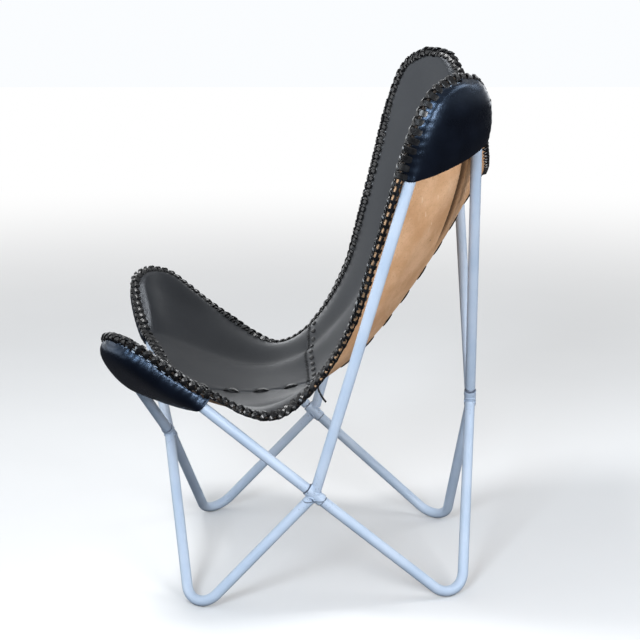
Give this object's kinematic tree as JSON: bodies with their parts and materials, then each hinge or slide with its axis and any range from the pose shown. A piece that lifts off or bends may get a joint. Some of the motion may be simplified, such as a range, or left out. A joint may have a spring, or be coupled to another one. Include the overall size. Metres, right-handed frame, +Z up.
{
  "type": "butterfly sling chair",
  "caption": "Low lounge chair: a laced two-tone leather sling hung by corner pockets from a painted frame of bent tube bows joined at sleeved crossings.",
  "frame": {"origin": "on the floor under the middle of the chair's overall box, in its mirror plane", "axes": "+Z up, the chair faces -Y, +X is the sitter's left"},
  "size_m": [0.6706, 0.6384, 0.8902],
  "materials": {
    "frame_paint": "pale blue satin paint",
    "pin_steel": "bare steel",
    "sling_leather": "black face with soft sheen, natural tan outside",
    "pocket_leather": "glossy black",
    "lace": "black leather lace"
  },
  "bodies": {
    "root": {"front_left_tip_bow": "frame_paint", "front_right_tip_bow": "frame_paint", "rear_left_tip_bow": "frame_paint", "rear_right_tip_bow": "frame_paint", "front_left_foot_bow": "frame_paint", "front_right_foot_bow": "frame_paint", "rear_left_foot_bow": "frame_paint", "rear_right_foot_bow": "frame_paint", "left_cross_sleeve": "frame_paint", "right_cross_sleeve": "frame_paint", "front_cross_sleeve": "frame_paint", "back_cross_sleeve": "frame_paint", "left_cross_pin": "pin_steel", "right_cross_pin": "pin_steel", "front_cross_pin": "pin_steel", "back_cross_pin": "pin_steel", "seat_left_panel": "sling_leather", "seat_right_panel": "sling_leather", "back_left_panel": "sling_leather", "back_right_panel": "sling_leather", "front_left_pocket": "pocket_leather", "front_right_pocket": "pocket_leather", "rear_left_pocket": "pocket_leather", "rear_right_pocket": "pocket_leather", "left_edge_lacing": "lace", "right_edge_lacing": "lace", "front_edge_lacing": "lace", "top_edge_lacing": "lace", "seat_seam_lace": "lace", "back_seam_lace": "lace", "cross_seam_lace": "lace", "lace_tail": "lace"}
  },
  "joints": []
}
